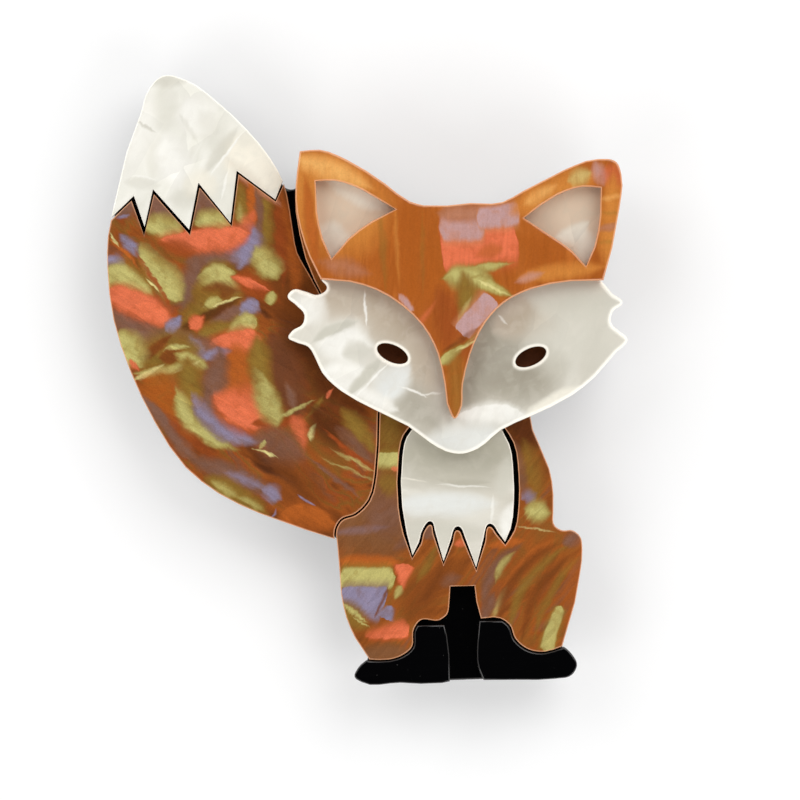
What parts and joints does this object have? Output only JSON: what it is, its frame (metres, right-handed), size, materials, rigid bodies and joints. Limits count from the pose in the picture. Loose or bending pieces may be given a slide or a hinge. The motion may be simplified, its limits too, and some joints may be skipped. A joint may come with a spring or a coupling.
{
  "type": "fox brooch",
  "caption": "Seated fox brooch in layered marbled and pearl acetate on a black backing plate, with a pin fitting across its back.",
  "frame": {"origin": "on the surface it lies on, under the middle of the brooch", "axes": "+X to the viewer's right, +Y up the fox from its feet to its tail tip, +Z out of its face"},
  "size_m": [0.052, 0.061, 0.0112],
  "materials": {
    "pin_metal": "lightly brushed",
    "black_acetate": "polished",
    "copper_acetate": "polished, marbled and pearlescent",
    "orange_acetate": "polished, marbled and pearlescent",
    "pearl_acetate": "polished, creased white pearl"
  },
  "bodies": {
    "root": {"brooch_pin": "pin_metal", "backing_plate": "black_acetate", "tail": "copper_acetate", "tail_tip": "pearl_acetate", "body": "copper_acetate", "chest_bib": "pearl_acetate", "left_foot": "black_acetate", "right_foot": "black_acetate", "face_plate": "pearl_acetate", "forehead_mask": "orange_acetate"}
  },
  "joints": []
}
